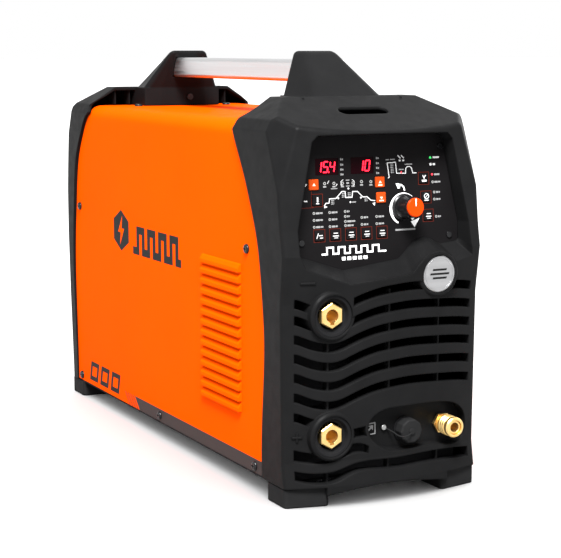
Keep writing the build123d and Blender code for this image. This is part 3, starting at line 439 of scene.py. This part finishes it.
def pulse_timing(lines, labels):
    """Spot and pulse timing, above and to the right of the second display."""
    timing = [(14.8, 323.2), (16.2, 324.0), (14.2, 338.4), (23.9, 338.9), (24.9, 327.8), (35.5, 327.4),
              (35.7, 332.3), (37.5, 334.0), (40.5, 334.0), (42.6, 332.4), (43.8, 327.4), (48.2, 327.4)]
    lines.line(timing, 0.85)
    for x, z in ((19.4, 335.6), (19.8, 330.4)):
        hatch(labels, x, z, 0)
    for x0, x1, z in ((12.6, 16.4, 341.6), (17.6, 23.4, 341.8), (34.6, 43.2, 336.4), (27.6, 33.4, 331.4)):
        labels.box(x0, x1, z - 0.5, z + 0.5)
    for x in (26.6, 30.6):
        lines.line([(x, 345.6), (x + 3.2, 342.6)], 1.1)
        lines.box(x + 1.2, x + 3.4, 339.6, 341.2)


def indicator_row(lines, labels, rings):
    """The row of lamps and small symbols under the displays."""
    lamps = [(-57.6, 320.4), (-47.2, 320.2), (-37.6, 320.0), (-25.6, 320.0), (-15.9, 320.8), (-5.2, 320.4)]
    for x, z in lamps:
        rings.ring(x, z, 1.2, 0.8, 12)
        labels.box(x - 1.7, x + 1.7, z - 3.9, z - 2.5)
    lines.line([(-36.6, 323.6), (-39.2, 321.8), (-39.2, 318.4), (-36.6, 316.8)], 0.5)
    lines.line([(-26.6, 323.4), (-24.1, 321.6), (-24.1, 318.2), (-26.6, 316.6)], 0.5)
    labels.box(-33.6, -29.6, 322.4, 323.3)
    labels.box(-33.0, -30.2, 319.2, 320.8)
    labels.box(-33.6, -29.6, 316.6, 317.5)
    labels.box(-50.6, -43.4, 314.6, 315.4)
    lines.line([(-54.6, 320.2), (-52.6, 323.0)], 0.5)
    lines.line([(-45.0, 317.6), (-43.4, 319.6)], 0.6)


def lamp_groups(rings, labels):
    """Lamps of the function groups over the lower keys, and beside the keys on the right."""
    lamp_rows(rings, labels, -70.5, (291.6, 284.8, 278.0), (7.6, 7.6, 8.0))
    lamp_rows(rings, labels, -52.9, (291.7, 284.8, 277.8), (6.6, 6.2, 6.4))
    lamp_rows(rings, labels, -35.4, (292.0, 287.1, 282.1, 278.0), (2.8, 3.0, 9.0, 7.0))
    lamp_rows(rings, labels, -16.6, (285.2, 278.2), (5.0, 5.0))
    lamp_rows(rings, labels, 0.4, (285.3, 278.2), (6.4, 6.2))
    lamp_rows(rings, labels, 67.2, (317.5,), (7.0,))
    lamp_rows(rings, labels, 68.9, (307.1, 299.9), (4.6, 5.0))
    lamp_rows(rings, labels, 70.7, (282.2,), (3.4,))


def unit_marks(lines, labels):
    """Units beside the displays, the labels at the right edge, plus and minus beside the left keys."""
    for x, rows in ((-37.7, (343.6, 338.4, 333.6, 328.8)), (3.0, (343.6, 338.6, 333.8, 328.8))):
        for z in rows:
            labels.box(x - 1.7, x - 0.3, z - 1.0, z + 1.0)
            labels.box(x + 0.1, x + 1.6, z - 0.9, z + 0.7)
    lines.box(67.9, 75.4, 341.5, 343.3)
    lines.disc(65.2, 335.5, 1.4, 14)
    lines.box(67.8, 70.6, 334.5, 336.4)
    labels.box(69.2, 75.6, 324.2, 326.0)
    lines.box(-81.0, -77.4, 319.3, 320.5)
    lines.box(-79.8, -78.6, 318.1, 321.7)
    lines.box(-81.0, -77.4, 303.2, 304.4)


def knob_scale(dial, labels):
    """Scale that widens clockwise round the knob, its arrow, the line below and a torch above."""
    dial.crescent(knob_x + 0.2, knob_z - 1.6, 16.1, 246, -50, 1.6, 4.6)
    dial.poly([(40.3, 278.6), (50.6, 281.6), (44.6, 272.6)])
    labels.box(22.0, 45.4, 269.9, 271.6)
    dial.poly([(23.6, 317.8), (27.4, 317.4), (29.0, 315.2), (28.2, 312.6), (26.0, 312.2)])
    dial.line([(27.6, 316.2), (30.4, 315.8), (32.8, 313.6), (33.8, 309.9)], 1.4)


def panel_emblem(bold):
    """A train of five pulses over five blocks, in place of a name."""
    low, high = 250.6, 257.0
    bold.line([(-63.0, low), *pulses(-57.0, 5, 13.0, 7.0, low, high), (10.7, low)], 1.6)
    for k in range(5):
        bold.box(-40.4 + 6.2 * k, -36.2 + 6.2 * k, 243.7, 247.0)


def key_frames(frames):
    """A thin red frame round each dark key, and the bracket that joins the left keys."""
    half = 6.2
    for node in KEY_NODES:
        x, z = key_place(node)
        if node not in ORANGE_KEYS:
            frames.outline(x - half, x + half, z - half, z + half, 0.6)
    frames.line([(-72.6, 313.2), (-72.6, 297.2), (-84.0, 297.2), (-84.0, 305.0)], 0.5)
    frames.line([(-72.6, 297.2), (-70.6, 297.2)], 0.5)


def panel_print():
    """Everything printed on the panel, and the lamps that are lit."""
    lines = Marks("panel_lines", panel, PALE, "panel_film")
    labels = Marks("panel_labels", panel, GREY, "panel_film")
    rings = Marks("panel_lamps", panel, LAMP_OFF, "panel_film", high=0.25)
    dial = Marks("dial_scale", panel, WHITE, "panel_film")
    bold = Marks("panel_emblem", panel, WHITE, "panel_film")
    frames = Marks("panel_key_frames", panel, RED, "panel_film")
    weld_cycle(lines, labels)
    pulse_timing(lines, labels)
    indicator_row(lines, labels, rings)
    lamp_groups(rings, labels)
    unit_marks(lines, labels)
    knob_scale(dial, labels)
    panel_emblem(bold)
    key_frames(frames)
    Marks("power_lamp", panel, LAMP_GREEN, "panel_film", high=0.5).disc(64.8, 342.3, 1.2).build()
    warning = Marks("fault_lamps", panel, LAMP_RED, "panel_film", high=0.4)
    warning.disc(66.6, 325.2, 1.1, 14).disc(30.2, 328.4, 0.9, 14).build()
    for marks in (lines, labels, rings, frames, bold, dial):
        marks.build()


def key_face(node):
    """Flat face on top of a key's cap, about its middle."""
    x, z = key_place(node)
    return Flat(panel.at(x, z, KEY_PROUD), panel.across, panel.up)


def key_symbols():
    """A white symbol on every key; each rides on its key."""
    for node in KEY_NODES:
        marks = Marks(f"{node}_symbol", key_face(node), PALE, "panel_film", body_of_node[node], high=0.1)
        if node in ORANGE_KEYS:
            marks.material = printed(f"{node}_ink", (0.95, 0.62, 0.45))
            turn = -1 if node == "parameter_back_key" else 1
            marks.poly([(-1.7, -0.9 * turn), (1.7, -0.9 * turn), (0, 1.7 * turn)])
            if node != "polarity_up_key":
                marks.box(-2.4, 2.4, -3.4, -2.2)
        elif node == "polarity_down_key":
            marks.box(-0.8, 0.8, -1.8, 3.2).box(-1.7, 1.7, -3.6, -2.6)
        elif node == "pulse_key":
            marks.line([(-3.6, -2.6), (-1.6, 2.6)], 0.9).box(-1.2, 3.2, -0.2, 0.7).box(0, 3.4, -2.6, -1.7)
        elif node == "gas_test_key":
            marks.line([(-1.8, 3.2), (0.2, -0.6)], 1.0).line([(1.8, 3.2), (-0.4, 0.2)], 1.0)
            marks.box(-2.8, 2.8, -3.4, -1.4)
        elif node == "remote_key":
            marks.ring(0, 1.0, 2.6, 0.8).line([(-1.5, -0.6), (1.5, 2.6)], 0.7).box(-2.6, 2.6, -3.6, -2.6)
        else:
            marks.box(-2.4, 2.4, 1.4, 2.3).box(-3.2, 3.2, -1.4, -0.4).box(-1.8, 2.4, -3.2, -2.5)
        marks.build()


# ---------------------------------------------------------------- displays

SEGMENTS = {"0": "abcdef", "1": "bc", "4": "bcfg", "5": "acdfg"}
# Seven-segment numerals, in millimetres; SLANT is their lean per unit of height
DIGIT_W = 4.9
DIGIT_H = 10.2
DIGIT_PITCH = 7.4
STROKE = 1.25
SLANT = 0.14
DIGIT_DEPTH = 0.6


def digit(marks, x, z, numeral):
    """One seven-segment numeral with its lower left corner at (x, z)."""
    half = DIGIT_H / 2
    gap = 0.28
    ends = {
        "a": ((gap, DIGIT_H), (DIGIT_W - gap, DIGIT_H)),
        "b": ((DIGIT_W, half + gap), (DIGIT_W, DIGIT_H - gap)),
        "c": ((DIGIT_W, gap), (DIGIT_W, half - gap)),
        "d": ((gap, 0), (DIGIT_W - gap, 0)),
        "e": ((0, gap), (0, half - gap)),
        "f": ((0, half + gap), (0, DIGIT_H - gap)),
        "g": ((gap, half), (DIGIT_W - gap, half)),
    }
    for name in SEGMENTS[numeral]:
        (u0, v0), (u1, v1) = ends[name]
        marks.line([(x + u0 + SLANT * v0, z + v0), (x + u1 + SLANT * v1, z + v1)], STROKE)


def display_digits():
    """Readings of the two displays, a little behind their windows' faces."""
    front = Flat(panel.at(0, 0, -DIGIT_DEPTH), panel.across, panel.up)
    for node, text, first in (("current_display", "154", -66.2), ("value_display", "10", -19.0)):
        marks = Marks(f"{node}_digits", front, SEGMENT, "display_red", high=0.15)
        base = middle(node).z / MM - DIGIT_H / 2
        for k, numeral in enumerate(text):
            digit(marks, first + DIGIT_PITCH * k, base, numeral)
        if node == "current_display":
            marks.disc(first + DIGIT_PITCH * 2 - 0.9, base, 0.75, 12)
        marks.build()


# ---------------------------------------------------------------- knobs and badge


CAP_TOP = 1.2  # the cap's top over the middle of its box, along the knob's axis, in millimetres


def knob_pointer():
    """White pointer line on the orange cap; it turns with the knob."""
    cap_height = (middle("knob_cap") - knob_at).dot(panel_out) / MM + CAP_TOP
    cap = Flat(panel.at(knob_x, knob_z, cap_height), panel.across, panel.up)
    pointer = Marks("knob_pointer", cap, WHITE, "knob_orange", "control_knob", high=0.2)
    pointer.poly([(-0.25, 1.2), (0.25, 1.2), (0.75, 8.6), (-0.75, 8.6)]).build()


def badge_face():
    """Generic turned badge: a raised ring and three bars."""
    low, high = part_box("front_badge")
    centre = (low + high) / 2
    face = Flat((centre.x, low.y, centre.z), (1, 0, 0), (0, 0, 1))
    bars = Marks("badge_bars", face, INK, "badge_metal", high=0.25)
    for k, reach in enumerate((8.0, 11.0, 8.0)):
        bars.box(-reach, reach, 4.2 - 4.2 * k - 1.0, 4.2 - 4.2 * k + 1.0, 0.8)
    bars.build()
    rim = Marks("badge_rim", face, finishes["badge_metal"], "badge_metal", high=0.3)
    rim.ring(0, 0, 16.2, 0.7, 64).build()


def switch_marks():
    """0 and 1 round the mains switch, and the pointer on its knob."""
    dial_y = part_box("mains_switch_body")[1].y
    grip_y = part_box("mains_switch_knob")[1].y
    centre = middle("mains_switch_knob")
    dial = Flat((centre.x, dial_y, centre.z), (-1, 0, 0), (0, 0, 1))
    marks = Marks("switch_numbers", dial, WHITE, "socket_black")
    marks.box(-0.6, 0.6, 20.4, 24.0)
    marks.line([(20.8, -1.6), (23.0, -1.6), (23.0, 1.6), (20.8, 1.6)], 0.7, closed=True).build()
    grip = Flat((centre.x, grip_y, centre.z), (-1, 0, 0), (0, 0, 1))
    Marks("switch_pointer", grip, WHITE, "socket_black", "mains_knob").box(-0.7, 0.7, 6.0, 16.0).build()


# ---------------------------------------------------------------- front marks

# Axis and radii of the front's upright cylinders, in millimetres
FRONT_AXIS_Y = -0.25
MINUS_RADIUS = 324.7
PLUS_RADIUS = 321.4
POCKET_RADIUS = 308.0
# Radius of the near-black sheet behind the grille, which paints the shade inside the slots
SHADE_SHEET_RADIUS = 305.0


def front_marks():
    """Minus and plus moulded on the skin beside the two sockets, and the torch in the pocket."""
    moulding = finishes["dark_moulding"]
    upper = Bowed(FRONT_AXIS_Y, MINUS_RADIUS)
    minus = Marks("minus_mark", upper, moulding, "dark_moulding", low=-0.6, high=1.0)
    minus.box(-97.0, -82.0, 225.0, 227.4).build()
    lower = Bowed(FRONT_AXIS_Y, PLUS_RADIUS)
    plus = Marks("plus_mark", lower, moulding, "dark_moulding", low=-0.6, high=1.0)
    plus.box(-103.4, -93.4, 70.8, 73.0)
    plus.box(-99.5, -97.3, 67.0, 70.8)
    plus.box(-99.5, -97.3, 73.0, 76.8).build()
    pocket = Bowed(FRONT_AXIS_Y, POCKET_RADIUS)
    torch = Marks("torch_symbol", pocket, GREY, "dark_moulding")
    torch.line([(-21.6, 77.4), (-10.6, 78.4), (-10.4, 67.2), (-16.0, 66.8)], 1.2)
    torch.line([(-21.4, 68.0), (-14.6, 73.8)], 1.8)
    torch.poly([(-18.0, 75.6), (-12.6, 76.2), (-12.8, 71.0)])
    torch.build()


# ---------------------------------------------------------------- side graphics


# Heights and reach of the side's graphics, in millimetres
EMBLEM_V = 234.0
EMBLEM_WIDE = 29.0
EMBLEM_TALL = 25.0
PULSE_LOW = 214.5
PULSE_HIGH = 239.5
STRIPE_LOW = 20.8
STRIPE_HIGH = 35.5


def emblem(name, face, centre, dark):
    """Hexagon with a bolt left open in the face's own colour."""
    corners = []
    for k in range(6):
        angle = math.pi / 3 * k
        corners.append((centre + EMBLEM_WIDE * math.sin(angle), EMBLEM_V + EMBLEM_TALL * math.cos(angle)))
    dark.poly(corners)
    bolt = Marks(f"{name}_bolt", face, finishes["orange_paint"], "orange_paint", high=0.2)
    half = [(4, 18), (-10, -2.5), (-1.5, -2.5), (1.5, 2.5)]
    for side in (1, -1):
        bolt.poly([(centre + side * u, EMBLEM_V + side * v) for u, v in half])
    bolt.build()


def side_graphics(name, face, forward, centre, blocks):
    """Emblem, pulse band, blocks and stripe on one side; forward is 1 where u grows to the front."""
    dark = Marks(f"{name}_graphics", face, INK, "orange_paint")
    emblem(name, face, centre, dark)
    train = pulses(centre + 55, 4, 34, 17, PULSE_LOW, PULSE_HIGH)
    dark.line([(centre + 39, PULSE_LOW), *train, (centre + 186, PULSE_LOW)], 9.0)
    for k in range(3):
        u = blocks + 38 * k
        dark.line([(u, 30), (u + 23, 30), (u + 28, 49), (u + 5, 49)], 6.0, closed=True)
    dark.build()
    ends = [(-88, STRIPE_LOW), (262, STRIPE_LOW), (262, STRIPE_HIGH), (-104, STRIPE_HIGH)]
    stripe = Marks(f"{name}_stripe", face, CHARCOAL, "orange_paint")
    stripe.poly([(forward * u, v) for u, v in ends]).build()
    slash = Marks(f"{name}_slashes", face, SLASH_RED, "orange_paint")
    for k in range(4):
        u = -121 + 8.5 * k
        ends = [(u, STRIPE_LOW), (u + 2.6, STRIPE_LOW), (u - 13.4, STRIPE_HIGH), (u - 16, STRIPE_HIGH)]
        slash.poly([(forward * u, v) for u, v in ends])
    slash.build()


# ---------------------------------------------------------------- painted shade: near-black sheet behind the grille


# Extent of the near-black sheet that paints the shade behind the slots, in millimetres
SHADE_SHEET_LEFT = -38.0
SHADE_SHEET_WIDTH = 139.0
SHADE_SHEET_LOW = 99.0
SHADE_SHEET_HEIGHT = 118.0


def slot_shade_sheet():
    """Bowed near-black sheet behind the air slots, between the sockets and the right side: painted shade for the
    dark inside of the slots.
    """
    bow = Bowed(FRONT_AXIS_Y, SHADE_SHEET_RADIUS)
    columns, rows = 60, 50
    mesh = bmesh.new()
    sheet = []
    for i in range(columns + 1):
        u = SHADE_SHEET_LEFT + SHADE_SHEET_WIDTH * i / columns
        column = []
        for j in range(rows + 1):
            v = SHADE_SHEET_LOW + SHADE_SHEET_HEIGHT * j / rows
            ripple = 0.7 * ((i * 7 + j * 5) % 3)
            column.append(mesh.verts.new(bow.at(u, v, ripple)))
        sheet.append(column)
    for i in range(columns):
        for j in range(rows):
            mesh.faces.new((sheet[i][j], sheet[i + 1][j], sheet[i + 1][j + 1], sheet[i][j + 1]))
    bmesh.ops.solidify(mesh, geom=mesh.faces[:], thickness=3.0 * MM)
    data = bpy.data.meshes.new("slot_shade_sheet")
    mesh.to_mesh(data)
    mesh.free()
    data.materials.append(SLOT_SHADE)
    piece = bpy.data.objects.new("slot_shade_sheet", data)
    bpy.context.scene.collection.objects.link(piece)
    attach(piece, CASE)


# ---------------------------------------------------------------- keeper cord of the remote cap


CORD_RADIUS = 0.75  # in millimetres


def curve_mesh(name, points, radius, material):
    """A round cord through points, as a mesh."""
    line = bpy.data.curves.new(name, "CURVE")
    line.dimensions = "3D"
    line.bevel_depth = radius
    line.bevel_resolution = 5
    line.resolution_u = 12
    line.use_fill_caps = True
    spline = line.splines.new("BEZIER")
    spline.bezier_points.add(len(points) - 1)
    for place, point in zip(points, spline.bezier_points):
        point.co = place
        point.handle_left_type = point.handle_right_type = "AUTO"
    drawn = bpy.data.objects.new(name, line)
    bpy.context.scene.collection.objects.link(drawn)
    data = bpy.data.meshes.new_from_object(drawn.evaluated_get(bpy.context.evaluated_depsgraph_get()))
    bpy.data.objects.remove(drawn)
    data.materials.clear()
    data.materials.append(material)
    data.shade_smooth()
    piece = bpy.data.objects.new(name, data)
    bpy.context.scene.collection.objects.link(piece)
    return piece


def keeper_cord():
    """The cord from the screw to the cap, as a fixed mesh that does not follow the cap."""
    strap_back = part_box("remote_cap_strap")[1].y
    cap_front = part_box("remote_cap")[0].y
    screw = middle("cap_screw")
    cap = middle("remote_cap")
    start = Vector((screw.x, strap_back - 0.6 * MM, screw.z))
    end = Vector((cap.x - 2.0 * MM, cap_front - 0.8 * MM, cap.z - 1.0 * MM))
    points = [start + Vector((4.2, 0.0, -2.0)) * MM, Vector((5.5, -315.2, 69.0)) * MM,
              Vector((10, -325.7, 65.5)) * MM, Vector((16, -327.8, 65.8)) * MM, end]
    cord = curve_mesh("keeper_cord", points, CORD_RADIUS * MM, finishes["rubber"])
    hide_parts("remote_cap_strap")
    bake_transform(cord)


# ---------------------------------------------------------------- studio


# The floor's half width in metres, where the lamps aim, and how soft the floor's own lamp is, in degrees
FLOOR_REACH = 60.0
AIM_KEY = (0, -0.1, 0.25)
AIM_FILL = (0, 0.1, 0.25)
PAPER_SPREAD = 80.0


def paper_floor():
    """A wide floor of pale paper."""
    reach = FLOOR_REACH
    corners = [(-reach, -reach, 0), (reach, -reach, 0), (reach, reach, 0), (-reach, reach, 0)]
    ground = bpy.data.meshes.new("floor")
    ground.from_pydata(corners, [], [(0, 1, 2, 3)])
    paper = Finish("floor_paper", (0.99, 0.99, 0.99), 0.7, specular_ior_level=0.05)
    ground.materials.append(paper.mottled(3, (0.975, 0.975, 0.975)).done())
    floor = bpy.data.objects.new("floor", ground)
    bpy.context.scene.collection.objects.link(floor)
    return floor


def white_world():
    """Even white light from all round."""
    world = bpy.data.worlds.new("studio")
    bpy.context.scene.world = world
    world.use_nodes = True
    sky = world.node_tree.nodes["Background"]
    sky.inputs["Color"].default_value = (1.0, 1.0, 1.0, 1.0)
    sky.inputs["Strength"].default_value = 1.0


def lighting_group(name, floor, state):
    """A collection that makes a lamp light the floor only, or everything but the floor."""
    group = bpy.data.collections.new(name)
    group.objects.link(floor)
    group.collection_objects[0].light_linking.link_state = state
    return group


def lamp(name, kind, place, aim, power, group):
    """A lamp at place that faces aim and lights what its group lets it light."""
    light = bpy.data.lights.new(name, kind)
    light.energy = power
    held = bpy.data.objects.new(name, light)
    held.location = place
    held.rotation_mode = "QUATERNION"
    held.rotation_quaternion = (Vector(aim) - Vector(place)).to_track_quat("-Z", "Y")
    held.light_linking.receiver_collection = group
    bpy.context.scene.collection.objects.link(held)
    return light


def studio():
    """White world and floor, a key and a fill lamp for the machine, a sun for the paper alone."""
    floor = paper_floor()
    white_world()
    machine = lighting_group("all_but_floor", floor, "EXCLUDE")
    paper = lighting_group("floor_alone", floor, "INCLUDE")
    key_light = lamp("key_light", "AREA", (-0.9, -1.7, 2.5), AIM_KEY, 330, machine)
    key_light.size = 1.0
    fill_light = lamp("fill_light", "AREA", (2.4, 0.9, 1.4), AIM_FILL, 25, machine)
    fill_light.size = 1.6
    paper_light = lamp("paper_light", "SUN", (0, 0, 3), (0, 0, 0), 2.2, paper)
    paper_light.angle = math.radians(PAPER_SPREAD)


# The camera's place in metres, its turn to the right and its dip in degrees, its lens in millimetres
EYE = (-0.7991, -1.6803, 0.4517)
YAW = 26.96
PITCH = 9.07
FOCAL_LENGTH = 102.77


def camera():
    """The viewpoint: a long lens, a little above the machine and to the left of its front."""
    lens = bpy.data.cameras.new("camera")
    lens.sensor_width = 36.0
    lens.lens = FOCAL_LENGTH
    lens.shift_x = -0.0260
    lens.shift_y = 0.0454
    eye = bpy.data.objects.new("camera", lens)
    eye.location = EYE
    yaw = math.radians(YAW)
    pitch = math.radians(PITCH)
    ahead = Vector((math.sin(yaw) * math.cos(pitch), math.cos(yaw) * math.cos(pitch), -math.sin(pitch)))
    eye.rotation_mode = "QUATERNION"
    eye.rotation_quaternion = ahead.to_track_quat("-Z", "Y")
    bpy.context.scene.collection.objects.link(eye)
    bpy.context.scene.camera = eye
    bpy.context.scene.view_settings.view_transform = "Standard"


panel_print()
key_symbols()
display_digits()
knob_pointer()
badge_face()
switch_marks()
front_marks()
side_graphics("left_side", left_side, 1, -141.0, -260)
side_graphics("right_side", right_side, -1, -10.0, 150)
slot_shade_sheet()
keeper_cord()
studio()
camera()
